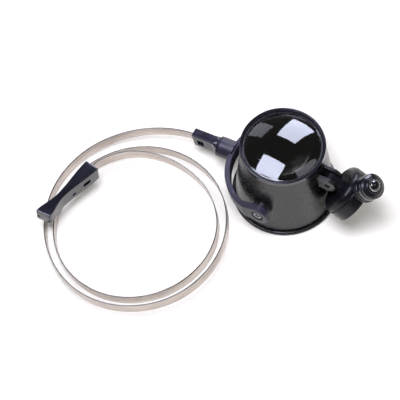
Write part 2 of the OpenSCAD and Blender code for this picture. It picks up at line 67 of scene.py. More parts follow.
def pyramids(points, corners):
    """Six times the volume between the origin and some triangles: the sum of a . (b x c)."""
    a, b, c = (points[corners[:, k]] for k in range(3))
    return np.einsum("ij,ij->i", a, np.cross(b, c)).sum()


def weld(grid, uv=None):
    """Points (rows, columns, 3) to points, faces and face-corner UVs. Each face joins a point
    with its right, upper-right and upper neighbours; equal points become one, and a face
    that loses a corner is a triangle."""
    rows, cols = grid.shape[:2]
    index = np.arange(rows * cols).reshape(rows, cols)
    quads = np.stack([index[:-1, :-1], index[:-1, 1:], index[1:, 1:], index[1:, :-1]], -1)
    quads = quads.reshape(-1, 4)
    points, same = np.unique(np.round(grid.reshape(-1, 3), 5), axis=0, return_inverse=True)
    corner = same.ravel()[quads]
    kept = corner != np.roll(corner, 1, axis=1)
    uv = np.zeros((rows * cols, 2)) if uv is None else uv.reshape(-1, 2)
    four, three = kept.sum(1) == 4, kept.sum(1) == 3
    tris = corner[three][kept[three]].reshape(-1, 3)
    volume = pyramids(points, tris)
    for half in ([0, 1, 2], [0, 2, 3]):
        volume += pyramids(points, corner[four][:, half])
    faces = [corner[four], tris]
    corners_uv = [uv[quads[four]], uv[quads[three][kept[three]]].reshape(-1, 3, 2)]
    if volume < 0:
        faces = [f[:, ::-1] for f in faces]
        corners_uv = [c[:, ::-1] for c in corners_uv]
    return points, faces, corners_uv


def mesh_of(name, grids, uvs=None):
    """One mesh from several closed grids in millimetres, written in metres. Faces that meet
    at more than the angle SHARP keep a crisp edge between them."""
    uvs = uvs or [None] * len(grids)
    points, faces, corners, start = [], [], [], 0
    for grid, uv in zip(grids, uvs):
        p, f, c = weld(grid, uv)
        points.append(p)
        faces += [face for group in f for face in (group + start).tolist()]
        corners += [k.reshape(-1, 2) for k in c]
        start += len(p)
    mesh = bpy.data.meshes.new(name)
    mesh.from_pydata((np.vstack(points) * MM).tolist(), [], faces)
    layer = mesh.uv_layers.new(name="along and across")
    layer.uv.foreach_set("vector", np.vstack(corners).astype(np.float32).ravel())
    mesh.shade_smooth()
    mesh.set_sharp_from_angle(angle=SHARP)
    return mesh


def even_normals(obj):
    """Normals weighted by face area, so a flat face beside a rounded edge stays flat."""
    obj.modifiers.new("even normals", "WEIGHTED_NORMAL").keep_sharp = True


def piece(name, body, slot, *grids, node, uvs=None):
    """A finished piece: it rides on a body and stands for a solid. Its slot is not used."""
    obj = bpy.data.objects.new(name, mesh_of(name, grids, uvs))
    bpy.context.scene.collection.objects.link(obj)
    even_normals(obj)
    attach(obj, body)
    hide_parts(node)
    print(f"{name}: {len(obj.data.vertices)} points, {len(obj.data.polygons)} faces")
    return obj


# %% [markdown]
# ## Outlines with softened corners
# Nothing moulded or turned has a perfectly sharp edge, and the thin bright line that light
# draws along an edge is what makes it look real. So an outline is given by its corners, and
# each corner is replaced by a short curve before the outline is turned, lofted or extruded.

# %% Outlines
def soften(corners, radius, closed=True, steps=4):
    """Each corner becomes a parabola: (1-t)^2 start + 2t(1-t) corner + t^2 end, which starts
    and ends a radius away from the corner, or nearly half a side away where sides are short."""
    p = np.asarray(corners, float)
    radius = np.broadcast_to(np.asarray(radius, float), len(p))[:, None]
    before, after = np.roll(p, 1, axis=0) - p, np.roll(p, -1, axis=0) - p
    lb, la = (np.linalg.norm(v, axis=1, keepdims=True) for v in (before, after))
    start = p + before / lb * np.minimum(radius, 0.49 * lb)
    end = p + after / la * np.minimum(radius, 0.49 * la)
    t = np.linspace(0, 1, steps + 1)[None, :, None]
    curve = (1 - t) ** 2 * start[:, None] + 2 * t * (1 - t) * p[:, None] + t ** 2 * end[:, None]
    if closed:
        curve = curve.reshape(-1, 2)
        return np.vstack([curve, curve[:1]])
    return np.vstack([p[:1], curve[1:-1].reshape(-1, 2), p[-1:]])


def arc_points(radius, start, end, count):
    """Points on a circle about the origin, radius (cos a, sin a), from start to end degrees."""
    a = np.radians(np.linspace(start, end, count))
    return radius * np.stack([np.cos(a), np.sin(a)], -1)


def loop(*parts):
    """Parts of an outline joined end to end, and back to the first point."""
    outline = np.vstack(parts)
    return np.vstack([outline, outline[:1]])


# %% Turning, lofting and plates
def turned(profile, around):
    """A turned piece: each (radius, height) of the profile goes round the Z axis, so a point
    is (radius cos a, radius sin a, height)."""
    a = np.linspace(0, 2 * np.pi, around + 1)[:, None]
    r, z = profile[:, 0][None], profile[:, 1][None]
    return np.stack([r * np.cos(a), r * np.sin(a), z + 0 * a], -1)


def section(half_w, half_h, radius, steps=5):
    """Rounded rectangles, one row each: the centre of each corner's circle is at half width
    and half height less the radius, and the rim goes round it a quarter turn at a time."""
    w, h, r = (np.asarray(v, float)[:, None] for v in (half_w, half_h, radius))
    quarters = [np.linspace(q, q + 90, steps + 1) for q in (0, 90, 180, 270)]
    turn = np.radians(np.concatenate(quarters))[None]
    corner = np.repeat([[1, 1], [-1, 1], [-1, -1], [1, -1]], steps + 1, axis=0)
    across = corner[:, 0] * (w - r) + r * np.cos(turn)
    up = corner[:, 1] * (h - r) + r * np.sin(turn)
    ring = np.stack([across, up], -1)
    return np.concatenate([ring, ring[:, :1]], axis=1)


def closed_ends(grid):
    """The first and last rows are drawn in to their middle, which closes a loft with flat ends."""
    first, last = (row[:, :-1].mean(1, keepdims=True) for row in (grid[:1], grid[-1:]))
    size = np.ones((1, grid.shape[1], 1))
    return np.concatenate([first * size, grid, last * size])


def plate_side(half, edge, steps=4):
    """The side of a plate in rows, from its back face round both rims to its front: each row
    is drawn in by edge (1 - sin a), later edge (1 - cos a), and its height is
    edge (1 - cos a) - half, later half - edge (1 - sin a)."""
    a = np.linspace(0, np.pi / 2, steps + 1)
    draw = np.concatenate([edge * (1 - np.sin(a)), edge * (1 - np.cos(a))])
    height = np.concatenate([-half + edge * (1 - np.cos(a)), half - edge * (1 - np.sin(a))])
    return draw, height


def plate(outline, half, edge):
    """A flat plate in the XZ plane. The rows of its side are drawn in square to the outline,
    and both faces are closed."""
    ahead = np.roll(outline[:-1], -1, axis=0) - np.roll(outline[:-1], 1, axis=0)
    inward = np.stack([-ahead[:, 1], ahead[:, 0]], -1)
    inward /= np.linalg.norm(inward, axis=1, keepdims=True)
    inward *= np.sign((inward * (outline[:-1].mean(0) - outline[:-1])).sum())
    inward = np.vstack([inward, inward[:1]])
    draw, height = plate_side(half, edge)
    ring = outline[None] + draw[:, None, None] * inward[None]
    grid = np.stack([ring[..., 0], height[:, None] + 0 * ring[..., 0], ring[..., 1]], -1)
    return closed_ends(grid)


def eyelet(outline, hole_r, half, edge, lip=0.12):
    """A plate in the XZ plane with a round hole about the origin. Each point of the outline
    is joined to the point of the hole in the same direction, hole_r outline / distance. The
    rows run up the side, in over the front, down through the hole and out under the back,
    so the grid closes both ways. The hole's rims are cut back by the lip."""
    far = np.linalg.norm(outline, axis=1, keepdims=True)
    draw, height = plate_side(half, edge)
    ring = outline[None] * (1 - draw[:, None, None] / far[None])
    hole, wider = (outline / far * r for r in (hole_r, hole_r + lip))
    rows = np.concatenate([ring, wider[None], hole[None], hole[None], wider[None], ring[:1]])
    y = np.concatenate([height, [half, half - lip, lip - half, -half], height[:1]])
    return np.stack([rows[..., 0], y[:, None] + 0 * rows[..., 0], rows[..., 1]], -1)


# %% Placing
def placed(grid, matrix):
    """Every point multiplied by a 4x4 matrix, in millimetres."""
    return grid @ matrix[:3, :3].T + matrix[:3, 3]


def rotate(degrees, axis):
    """The 4x4 matrix of a turn about the X, Y or Z axis."""
    return np.array(Matrix.Rotation(math.radians(degrees), 4, axis))


def axes_matrix(x, y, z, origin):
    """The 4x4 matrix whose columns are three axes and an origin."""
    m = np.eye(4)
    m[:3, 0], m[:3, 1], m[:3, 2], m[:3, 3] = x, y, z, origin
    return m


def move(x, y, z):
    """The 4x4 matrix of a shift."""
    return axes_matrix((1, 0, 0), (0, 1, 0), (0, 0, 1), (x, y, z))


# %% [markdown]
# ## Where things are
# The joints of the construction model carry its directions. The connector turns about the
# stub, so that joint's axis shows how far the yoke droops. The lamp's two joints give its
# hinge, and the direction of its beam is square to both axes.

# %% Frames of the tilted groups
PIVOT_Z = 14.0
BAND_SWING = 2.3
stub = np.array(joints["connector_swivel"]["axis"])
on_yoke = axes_matrix(-stub, (0, 1, 0), np.cross(-stub, (0, 1, 0)), (0, 0, PIVOT_Z))
on_band = on_yoke @ rotate(BAND_SWING, "X")

lamp_y = -np.array(joints["lamp_tilt"]["axis"])
to_cup = np.array(joints["drum_twist"]["axis"])
beam = np.cross(lamp_y, to_cup)
hinge_at = np.array(joints["lamp_tilt"]["pos_m"]) / MM
drum_at = np.array(joints["drum_twist"]["pos_m"]) / MM
on_drum = axes_matrix(beam, lamp_y, to_cup, drum_at)
outward = np.cross(lamp_y, (0, 0, 1))
on_hinge = axes_matrix(outward, lamp_y, (0, 0, 1), hinge_at)
lying_x = rotate(90, "Y")
on_beam = on_drum @ lying_x
print("yoke droops", round(math.degrees(math.asin(-stub[2])), 2), "degrees; beam", np.round(beam, 3))

# %% [markdown]
# ## Camera
# The photograph looks down from the front at about sixty degrees, from far away, with the
# picture turned a few degrees. A long lens at one and a half metres gives the same gentle
# perspective. The camera's three axes are written out from its bearing and height.

# %% Camera
BEARING, HEIGHT, ROLL = math.radians(-56), math.radians(61.75), math.radians(5.95)
AIM = np.array([-26.24, -18.91, 0.0]) * MM
DISTANCE, SENSOR, FOCAL = 1.5, 36, 359.8
flat = math.cos(HEIGHT)
back = np.array([flat * math.cos(BEARING), flat * math.sin(BEARING), math.sin(HEIGHT)])
level = np.array([-math.sin(BEARING), math.cos(BEARING), 0])
rise = np.cross(back, level)
camera = bpy.data.objects.new("camera", bpy.data.cameras.new("camera"))
bpy.context.scene.collection.objects.link(camera)
right = math.cos(ROLL) * level - math.sin(ROLL) * rise
up = math.sin(ROLL) * level + math.cos(ROLL) * rise
camera.matrix_world = Matrix(axes_matrix(right, up, back, AIM + back * DISTANCE).tolist())
camera.data.sensor_width = SENSOR
camera.data.lens = FOCAL
camera.data.clip_end = 10
bpy.context.scene.camera = camera
print("camera at", [round(v, 3) for v in camera.location])

# %% [markdown]
# ## Materials
# Each finish is built from noise at the scale of the real surface. Moulded plastic has a
# faint cloudiness in its black and a fine grain that breaks up its shine. Strip steel has
# long streaks from rolling, so its noise is stretched along the strip. Values that are the
# same everywhere are set on the shader itself.

# %% Nodes that the finishes share
def new_material(name):
    """An empty finish: the material, its node tree and its shader."""
    material = bpy.data.materials.new(name)
    material.use_nodes = True
    return material, material.node_tree, material.node_tree.nodes["Principled BSDF"]


def noise(tree, scale, detail=3, stretch=(1, 1, 1), coords="Object", roughness=0.5):
    """Noise on Object coordinates or on the piece's own UVs, in repeats per metre."""
    place = tree.nodes.new("ShaderNodeTexCoord")
    mapping = tree.nodes.new("ShaderNodeMapping")
    mapping.inputs["Scale"].default_value = stretch
    texture = tree.nodes.new("ShaderNodeTexNoise")
    texture.inputs["Scale"].default_value = scale
    texture.inputs["Detail"].default_value = detail
    texture.inputs["Roughness"].default_value = roughness
    tree.links.new(place.outputs[coords], mapping.inputs["Vector"])
    tree.links.new(mapping.outputs["Vector"], texture.inputs["Vector"])
    return texture.outputs["Fac"]


def spread(tree, value, low, high, start=0.35, end=0.65):
    """A value between start and end mapped onto low to high, and held there outside them."""
    node = tree.nodes.new("ShaderNodeMapRange")
    node.inputs["From Min"].default_value, node.inputs["From Max"].default_value = start, end
    node.inputs["To Min"].default_value, node.inputs["To Max"].default_value = low, high
    tree.links.new(value, node.inputs["Value"])
    return node.outputs["Result"]


def maths(tree, operation, a, b, clamp=False):
    """One Math node; a and b are outputs or plain numbers."""
    node = tree.nodes.new("ShaderNodeMath")
    node.operation, node.use_clamp = operation, clamp
    for socket, value in zip(node.inputs, (a, b)):
        if isinstance(value, (int, float)):
            socket.default_value = value
        else:
            tree.links.new(value, socket)
    return node.outputs[0]


def two_tone(tree, value, dark, light, start=0.35, end=0.65):
    """A colour between dark and light, chosen by the value."""
    node = tree.nodes.new("ShaderNodeValToRGB")
    low, high = node.color_ramp.elements
    low.position, high.position = start, end
    low.color, high.color = (*dark, 1), (*light, 1)
    tree.links.new(value, node.inputs["Fac"])
    return node.outputs["Color"]


def bump(tree, shader, value, height):
    """The value raises the surface by up to height metres."""
    node = tree.nodes.new("ShaderNodeBump")
    node.inputs["Strength"].default_value = 1
    node.inputs["Distance"].default_value = height
    tree.links.new(value, node.inputs["Height"])
    tree.links.new(node.outputs["Normal"], shader.inputs["Normal"])


def finish(obj, material):
    """One material over the whole object, in place of what it had."""
    obj.data.materials.clear()
    obj.data.materials.append(material)


# %% Kinds of finish
def moulded(name, dark, light, rough=(0.3, 0.42), grain=2500, relief=0.00001, gloss=0.7):
    """Moulded plastic: cloudy colour, uneven gloss and a fine grain."""
    material, tree, shader = new_material(name)
    tree.links.new(two_tone(tree, noise(tree, 90), dark, light), shader.inputs["Base Color"])
    tree.links.new(spread(tree, noise(tree, 400, 5), *rough), shader.inputs["Roughness"])
    bump(tree, shader, noise(tree, grain, 2), relief)
    shader.inputs["IOR"].default_value = 1.52
    shader.inputs["Specular IOR Level"].default_value = gloss
    return material


def metal(name, dark, light, rough):
    """Metal: one fine mottling moves its colour, its gloss and its height together."""
    material, tree, shader = new_material(name)
    fine = noise(tree, 600, 4, roughness=0.6)
    tree.links.new(two_tone(tree, fine, dark, light), shader.inputs["Base Color"])
    tree.links.new(spread(tree, fine, *rough), shader.inputs["Roughness"])
    bump(tree, shader, fine, 0.000004)
    shader.inputs["Metallic"].default_value = 1
    return material


def strip(name, dark, light, edge, edge_shade_from):
    """Rolled strip: faint cloudy stains and fine streaks along the strip, with painted shade along
    its edges, where the distance from the strip's middle passes the given metres. The UVs are metres."""
    material, tree, shader = new_material(name)
    streak = noise(tree, 1, 4, (22, 2600, 1), "UV", 0.65)
    stain = noise(tree, 1, 2, (60, 160, 1), "UV")
    tone = maths(tree, "ADD", maths(tree, "MULTIPLY", streak, 0.6),
                 maths(tree, "MULTIPLY", stain, 0.4))
    split = tree.nodes.new("ShaderNodeSeparateXYZ")
    tree.links.new(tree.nodes.new("ShaderNodeTexCoord").outputs["UV"], split.inputs[0])
    from_middle = maths(tree, "ABSOLUTE", split.outputs["Y"], 0)
    mix = tree.nodes.new("ShaderNodeMix")
    mix.data_type = "RGBA"
    # Painted shade: near both edges the colour turns to the dark edge colour.
    in_edge_shade = spread(tree, from_middle, 0, 1, edge_shade_from, edge_shade_from + 0.0001)
    tree.links.new(in_edge_shade, mix.inputs["Factor"])
    tree.links.new(two_tone(tree, tone, dark, light, 0.38, 0.62), mix.inputs["A"])
    mix.inputs["B"].default_value = (*edge, 1)
    tree.links.new(mix.outputs["Result"], shader.inputs["Base Color"])
    tree.links.new(spread(tree, tone, 0.22, 0.34), shader.inputs["Roughness"])
    bump(tree, shader, streak, 0.000002)
    shader.inputs["Metallic"].default_value = 1
    return material


def clear(name, colour, ior, rough=0.0, coat=0.0, mirror=1.0):
    """Clear glass or resin, faintly uneven in tint and gloss. A low mirror value takes most
    of the material's own reflection away; a coat adds a perfectly smooth one."""
    material, tree, shader = new_material(name)
    tint = two_tone(tree, noise(tree, 60), [c * 0.985 for c in colour], colour)
    tree.links.new(tint, shader.inputs["Base Color"])
    tree.links.new(spread(tree, noise(tree, 300), rough, rough + 0.01), shader.inputs["Roughness"])
    shader.inputs["Transmission Weight"].default_value = 1
    shader.inputs["IOR"].default_value = ior
    shader.inputs["Coat Weight"].default_value = coat
    shader.inputs["Specular Tint"].default_value = (mirror, mirror, mirror, 1)
    shader.inputs["Coat IOR"].default_value = 1.72
    shader.inputs["Coat Roughness"].default_value = 0.0
    return material


# %% [markdown]
# ## The finishes of this object
# Nearly everything here is black plastic, yet no two pieces shine alike. The cup is satin,
# the bezel and the pad are glossy, the yoke is dull. Their blacks are a little blue: a
# painted tint for the cool light of the lamps. The lens has two glasses: its front face has a coat
# that mirrors the room, and its back face is bloomed, so that it hardly mirrors at all.

# %% Plastics
cup_black = moulded("satin cup plastic", (0.0055, 0.0055, 0.006), (0.0085, 0.0085, 0.009),
                    rough=(0.25, 0.32), grain=2200, relief=0.000002, gloss=0.50)
rim_black = moulded("bezel plastic", (0.006, 0.005, 0.012), (0.010, 0.008, 0.019),
                    rough=(0.10, 0.16), grain=3200, relief=0.000003)
yoke_black = moulded("yoke plastic", (0.008, 0.006, 0.017), (0.014, 0.011, 0.028),
                     rough=(0.38, 0.48), relief=0.000004)
connector_black = moulded("connector plastic", (0.007, 0.006, 0.015), (0.012, 0.010, 0.024),
                          rough=(0.24, 0.32), relief=0.000004, gloss=0.64)
pad_black = moulded("pad plastic", (0.005, 0.005, 0.011), (0.008, 0.008, 0.017),
                    rough=(0.14, 0.20), grain=1800, relief=0.000006, gloss=0.6)
lamp_black = moulded("lamp plastic", (0.004, 0.004, 0.006), (0.007, 0.007, 0.010),
                     rough=(0.24, 0.33), relief=0.000005, gloss=0.26)
nose_black = moulded("nose plastic", (0.004, 0.004, 0.007), (0.008, 0.008, 0.012), (0.10, 0.16))
# The slider's light grey is a painted highlight: a lighter colour for the light caught on its ridge.
slider_highlight_grey = moulded("slider plastic, painted highlight", (0.07, 0.07, 0.075), (0.10, 0.10, 0.11), (0.3, 0.4))
nylon = moulded("bush nylon", (0.60, 0.59, 0.55), (0.72, 0.71, 0.67), (0.4, 0.5))
fibre = moulded("washer fibre", (0.012, 0.012, 0.012), (0.02, 0.02, 0.02), (0.5, 0.6))
spacer_grey = moulded("spacer plastic", (0.008, 0.008, 0.009), (0.014, 0.014, 0.015),
                      rough=(0.4, 0.5), gloss=0.4)
board_green = moulded("board lacquer", (0.02, 0.10, 0.05), (0.04, 0.17, 0.08), (0.2, 0.3))
resistor_black = moulded("resistor body", (0.02, 0.02, 0.02), (0.05, 0.05, 0.05), (0.5, 0.6))
edge_paint = moulded("black edge paint", (0.008, 0.008, 0.009), (0.014, 0.014, 0.015), (0.5, 0.6))

# %% Metals, glass and resin
# Its edge colour is painted shade: dark lines along both edges of the strip.
band_steel = strip("rolled spring steel", (0.31, 0.265, 0.235), (0.60, 0.54, 0.49),
                   edge=(0.19, 0.18, 0.175), edge_shade_from=0.00214)
screw_steel = metal("blackened screw steel", (0.10, 0.10, 0.11), (0.22, 0.22, 0.24), (0.16, 0.28))
pin_steel = metal("ground pin steel", (0.35, 0.35, 0.37), (0.5, 0.5, 0.52), (0.2, 0.3))
cell_steel = metal("cell can", (0.66, 0.66, 0.68), (0.78, 0.78, 0.8), (0.15, 0.25))
contact_brass = metal("contact brass", (0.62, 0.46, 0.20), (0.78, 0.62, 0.32), (0.25, 0.35))
lead_tin = metal("tinned wire", (0.6, 0.6, 0.6), (0.75, 0.75, 0.75), (0.2, 0.3))
lens_glass = clear("lens glass, front face", (0.97, 0.985, 1.0), 1.52, coat=1.0, mirror=0.05)
lens_bloomed = clear("lens glass, bloomed back face", (0.98, 0.985, 0.99), 1.52, mirror=0.05)
bulb_resin = clear("bulb resin", (0.62, 0.63, 0.70), 1.5, rough=0.02, coat=0.6)

CARRIED = {
    "lens_spacer": spacer_grey, "pivot_screws": screw_steel, "friction_washers": fibre,
    "swivel_screw": screw_steel, "coin_cells": cell_steel, "contact_plate": contact_brass,
    "contact_spring": contact_brass, "switch_board": board_green, "resistor": resistor_black,
    "led_holder": nylon, "led_leads": lead_tin,
}
for name, material in CARRIED.items():
    finish(nodes[name], material)
print(len(CARRIED), "construction solids keep their shape and get a finish")

# %% [markdown]
# ## Eyecup
# The cup is one moulding: a straight cone with a rounded brim at the eye, and a seat with a
# ledge at the top for the lens. Its section is drawn once and turned. The bosses for the
# tilt screws and the two ears for the lamp grow out of its side, so they belong to it.

# %% Eyecup
LENS_R, FIT = 15.0, 0.03
CONE_TOP, SPIGOT_R, LEDGE_R, LEDGE_LOW, LEDGE_TOP = 31.7, 15.43, 12.78, 28.3, 29.5
BEAD_AT, BEAD_R, BEAD_POINTS = (19.2, 0.78), 0.8, 20
bead = BEAD_AT + arc_points(BEAD_R, -75, 150, BEAD_POINTS)
CUP_WALL = [(17.3, 0), (BEAD_AT[0], 0), *bead.tolist(), (18.42, 1.25), (18.7, 1.95),
            (15.83, CONE_TOP), (SPIGOT_R, CONE_TOP), (SPIGOT_R, CONE_TOP + 0.5),
            (LENS_R + FIT, CONE_TOP + 0.5), (LENS_R + FIT, LEDGE_TOP), (LEDGE_R, LEDGE_TOP),
            (LEDGE_R, LEDGE_LOW), (14.55, LEDGE_LOW)]
CUP_SOFT = [0.1, 0.02, *[0.02] * BEAD_POINTS, 0.05, 0.15, 0.2, 0.03, 0.03, 0.03, 0.05, 0.15, 0.2, 0.3]
cup_wall = turned(soften(CUP_WALL, CUP_SOFT, steps=3), 192)

BOSS_R, BOSS_FROM, BOSS_TO, SHANK_R, SHANK_END = 3.5, 15.6, 18.4, 1.25, 16.6
BOSS = [(0, BOSS_FROM), (BOSS_R, BOSS_FROM), (BOSS_R, BOSS_TO), (SHANK_R, BOSS_TO),
        (SHANK_R, SHANK_END), (0, SHANK_END)]
boss = turned(soften(BOSS, 0.2, closed=False), 64)
bosses = [placed(boss, move(0, 0, PIVOT_Z) @ rotate(a, "X")) for a in (90, -90)]

EAR_R, EAR_T, PIN_R, TONGUE_W, TONGUE_OFF = 3.5, 1.35, 1.05, 3.3, 1.0
EAR_FOOT = [(-4.2, 3.9), (-4.2, -2.7)]
ear_rim = loop(arc_points(EAR_R, -88, 88, 40), EAR_FOOT)
ear = eyelet(ear_rim, PIN_R + FIT, EAR_T / 2, 0.2)
ear_y = TONGUE_W / 2 + 0.1 + EAR_T / 2
ears = [placed(ear, on_hinge @ move(0, side * ear_y - TONGUE_OFF, 0)) for side in (1, -1)]
eyecup = piece("eyecup_shell", "cup", "black_plastic", cup_wall, *bosses, *ears, node="eyecup")
finish(eyecup, cup_black)

# %% [markdown]
# ## Bezel and lens
# The bezel is a thin turned ring that drops over the lens. A shallow groove runs round its
# front, and its inner edge is sloped, which gives two lit steps with a dark line between.
# The lens has two spherical faces and a flat edge. For a sphere of radius R the face stands
# sqrt(R^2 - r^2) - sqrt(R^2 - edge^2) above its edge at the distance r from the axis.

# %% Bezel
EDGE_LOW, EDGE_HIGH, GAP = 30.8, 32.4, 0.02
BEZEL_R, BEZEL_HOLE, BEZEL_TOP, GROOVE_FLOOR = 16.05, 14.75, 33.6, 33.36
BEZEL = [(SPIGOT_R + FIT, CONE_TOP + GAP), (BEZEL_R, CONE_TOP + GAP), (BEZEL_R, BEZEL_TOP),
         (15.62, BEZEL_TOP), (15.58, GROOVE_FLOOR), (15.32, GROOVE_FLOOR), (15.28, BEZEL_TOP),
         (BEZEL_HOLE, 32.85), (BEZEL_HOLE, EDGE_HIGH + GAP), (SPIGOT_R + FIT, EDGE_HIGH + GAP)]
BEZEL_SOFT = [0.03, 0.08, 0.32, 0.06, 0.05, 0.05, 0.07, 0.08, 0.05, 0.03]
bezel = piece("front_bezel_ring", "cup", "black_plastic",
              turned(soften(BEZEL, BEZEL_SOFT), 192), node="front_bezel")
finish(bezel, rim_black)

# %% Lens
FACE_R, FRONT_CURVE, BACK_CURVE, CHAMFER = 14.3, 32.0, 90.0, 0.08
r = np.linspace(0, FACE_R, 40)
bulge, hollow = (np.sqrt(curve ** 2 - r ** 2) - math.sqrt(curve ** 2 - FACE_R ** 2)
                 for curve in (FRONT_CURVE, BACK_CURVE))
lower = np.stack([r, EDGE_LOW - hollow], -1)
upper = np.stack([r, EDGE_HIGH + bulge], -1)[::-1]
edge = [(LENS_R - CHAMFER, EDGE_LOW), (LENS_R, EDGE_LOW + CHAMFER),
        (LENS_R, EDGE_HIGH - CHAMFER), (LENS_R - CHAMFER, EDGE_HIGH)]
lens = piece("lens_glass_body", "cup", "lens_glass", turned(np.vstack([lower, edge, upper]), 160),
             node="lens")
finish(lens, lens_glass)
lens.data.materials.append(edge_paint)
lens.data.materials.append(lens_bloomed)
centre = np.empty(len(lens.data.polygons) * 3, np.float32)
lens.data.polygons.foreach_get("center", centre)
centre = centre.reshape(-1, 3)
painted = np.hypot(centre[:, 0], centre[:, 1]) > (FACE_R - 0.1) * MM
bloomed = ~painted & (centre[:, 2] < (EDGE_LOW + EDGE_HIGH) / 2 * MM)
lens.data.polygons.foreach_set("material_index", (painted + 2 * bloomed).astype(np.int32))
print(int(painted.sum()), "faces of the lens's edge are painted black,", int(bloomed.sum()), "are bloomed")

# %% [markdown]
# ## Tilt yoke
# The yoke is a flat half ring that widens into two round eyes over the screws, with a stub
# for the connector in the middle of its back. The ring is a rounded rectangle carried round
# a half circle. Near its ends both walls stop just short of the eyes' faces: the distance
# from the axis is the lesser of the ring's radius and face / sin a, while the section grows
# taller. Each eye is a flat plate: a round end whose two tangents run back to the ring, with
# a recess for the screw's head and a bush that the screw bears on.

# %% Half ring of the yoke
EYE_IN, EYE_OUT, RING_IN, RING_OUT, INSET = 18.8, 21.48, 20.2, 22.2, 0.02
TAPER_AT = [4.0, 5.4, 7.3, 8.6, 10.0, 11.5]
TAPER_HALF = [3.55, 3.33, 2.97, 2.78, 2.66, 2.6]
parts = [np.linspace(start, end, 50) for start, end in ((102.5, 130), (131, 229), (230, 257.5))]
a = np.radians(np.concatenate(parts))
along, sideways = np.cos(a), np.sin(a)
reach = np.stack([np.minimum(wall, face / np.abs(sideways).clip(0.2)) for wall, face in
                  ((RING_IN, EYE_IN + INSET), (RING_OUT, EYE_OUT - INSET))])
middle, half_wall = reach.mean(0), (reach[1] - reach[0]) / 2
half_high = np.interp(-middle * along, TAPER_AT, TAPER_HALF)
rings = section(half_wall, half_high, np.full(len(a), 0.25))
from_axis = middle[:, None] + rings[..., 0]
half_ring = np.stack([from_axis * along[:, None], from_axis * sideways[:, None], rings[..., 1]], -1)
print("the yoke's ends are", round(2 * half_high[0], 2), "mm high, its back", 2 * TAPER_HALF[-1])

# %% Eyes and stub of the yoke
EYE_R, RECESS_R, BUSH_R, STUB_R = 4.3, 2.4, 2.55, 3.9
EYE_BACK = [(-3.0, 3.8), (-5.35, 3.36), (-5.35, 0), (-5.35, -3.36), (-3.0, -3.8)]
eye_rim = loop(arc_points(EYE_R, -100.7, 100.7, 60), EYE_BACK)
eye = eyelet(eye_rim, RECESS_R, (EYE_OUT - EYE_IN) / 2, 0.22)
BUSH = [(SHANK_R, -1.3), (BUSH_R, -1.3), (BUSH_R, 0.35), (SHANK_R, 0.35)]
y_for_z = axes_matrix((1, 0, 0), (0, 0, 1), (0, 1, 0), (0, 0, 0))
bush = placed(turned(soften(BUSH, 0.05), 64), y_for_z)
middle_y = (EYE_IN + EYE_OUT) / 2
eyes = [placed(grid, move(0, side * middle_y, 0) @ np.diag([1, side, 1, 1]))
        for grid in (eye, bush) for side in (1, -1)]
STUB = [(0, -20.8), (STUB_R, -20.8), (STUB_R, -26.8), (0, -26.8)]
stub_rod = placed(turned(soften(STUB, [0, 0.1, 0.18, 0], closed=False), 96), lying_x)
yoke = piece("tilt_yoke_ring", "yoke", "black_plastic",
             *[placed(grid, on_yoke) for grid in (closed_ends(half_ring), *eyes, stub_rod)],
             node="tilt_yoke")
finish(yoke, yoke_black)

# %% [markdown]
# ## Band connector
# A round barrel, as thick as the stub, turns into a flat block that holds the strip. One
# family of rounded rectangles covers both: where the corner radius equals the half width
# it is a circle. The hollow shoulders follow a quarter ellipse. The window of the latch
# goes right through, and is cut with a boolean, because a grid has no holes.

# %% Cutting
def cut(obj, *grids):
    """Takes closed grids out of a piece. The result is written back as a plain mesh."""
    tool = bpy.data.objects.new("cutter", mesh_of("cutter", grids))
    bpy.context.scene.collection.objects.link(tool)
    obj.modifiers.clear()
    boolean = obj.modifiers.new("cut", "BOOLEAN")
    boolean.operation, boolean.object, boolean.solver = "DIFFERENCE", tool, "EXACT"
    result = obj.evaluated_get(bpy.context.evaluated_depsgraph_get())
    mesh = bpy.data.meshes.new_from_object(result)
    obj.modifiers.clear()
    obj.data = mesh
    bpy.data.objects.remove(tool)
    mesh.set_sharp_from_angle(angle=SHARP)
    even_normals(obj)
    print(f"{obj.name}: cut, now {len(mesh.polygons)} faces")


def block(low, high, radius=0.1):
    """A closed box with softened long edges between two corners, along X."""
    low, high = np.array(low, float), np.array(high, float)
    middle, half = (low + high) / 2, (high - low) / 2
    ring = section([half[1]] * 2, [half[2]] * 2, [radius] * 2, 3)
    x = np.broadcast_to(np.array([low[0], high[0]])[:, None], ring.shape[:2])
    return closed_ends(np.stack([x, ring[..., 0] + middle[1], ring[..., 1] + middle[2]], -1))


def rounding(distance, reach):
    """How far a rounded end has drawn in, from 1 at the end itself to 0 at the reach of the
    rounding: 1 - sqrt(1 - u^2), where u is 1 - distance / reach."""
    u = np.clip(1 - distance / reach, 0, 1)
    return 1 - np.sqrt(1 - u ** 2)


# %% Band connector
BARREL_X, FLARE_X, FLARE, END_X, END_ROUND = 26.85, 27.6, 2.6, 38.55, 0.35
BLOCK_HALF_W, BLOCK_HALF_H, BLOCK_CORNER = 1.8, 3.6, 0.35
x = np.concatenate([[BARREL_X, BARREL_X + 0.08, BARREL_X + 0.2],
                    FLARE_X + FLARE * np.linspace(0, 1, 26) ** 1.3,
                    np.linspace(31.0, END_X - 0.4, 6),
                    END_X - END_ROUND * (1 - np.sin(np.linspace(0, np.pi / 2, 5)))])
fade = np.clip((x - FLARE_X) / FLARE, 0, 1)
rim = 0.18 * np.clip(1 - (x - BARREL_X) / 0.2, 0, 1) + END_ROUND * rounding(END_X - x, END_ROUND)
half_w = STUB_R - (STUB_R - BLOCK_HALF_W) * np.sqrt(1 - (1 - fade) ** 2) - rim
half_h = STUB_R - (STUB_R - BLOCK_HALF_H) * fade - rim
corner = BLOCK_CORNER + (STUB_R - BLOCK_CORNER) * (1 - fade) ** 2.6
